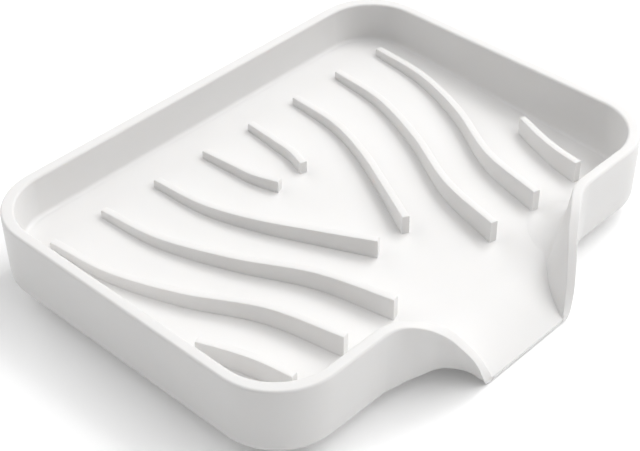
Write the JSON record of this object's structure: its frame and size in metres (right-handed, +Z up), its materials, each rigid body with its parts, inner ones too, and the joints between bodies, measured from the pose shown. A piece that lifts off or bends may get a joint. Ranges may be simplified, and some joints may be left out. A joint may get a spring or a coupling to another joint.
{
  "type": "soap tray",
  "caption": "White silicone self-draining soap tray: rounded wall, sloping floor with curved drainage ribs and a drooping pouring spout at the front.",
  "frame": {"origin": "centre of the bounding box in x and y, at the height of the soles of the four feet", "axes": "+X along the tray's long side to its right, seen from the spout; -Y towards the pouring spout; +Z up"},
  "size_m": [0.14, 0.1136, 0.0227],
  "materials": {
    "silicone": "matte white silicone"
  },
  "bodies": {
    "root": {"wall": "silicone", "floor": "silicone", "spout_chute": "silicone", "spout_cheek_left": "silicone", "spout_cheek_right": "silicone", "rib_left_1": "silicone", "rib_left_2": "silicone", "rib_left_3": "silicone", "rib_left_4": "silicone", "rib_left_5": "silicone", "rib_right_1": "silicone", "rib_right_2": "silicone", "rib_right_3": "silicone", "rib_right_4": "silicone", "rib_right_5": "silicone", "foot_front_left": "silicone", "foot_front_right": "silicone", "foot_back_left": "silicone", "foot_back_right": "silicone"}
  },
  "joints": []
}
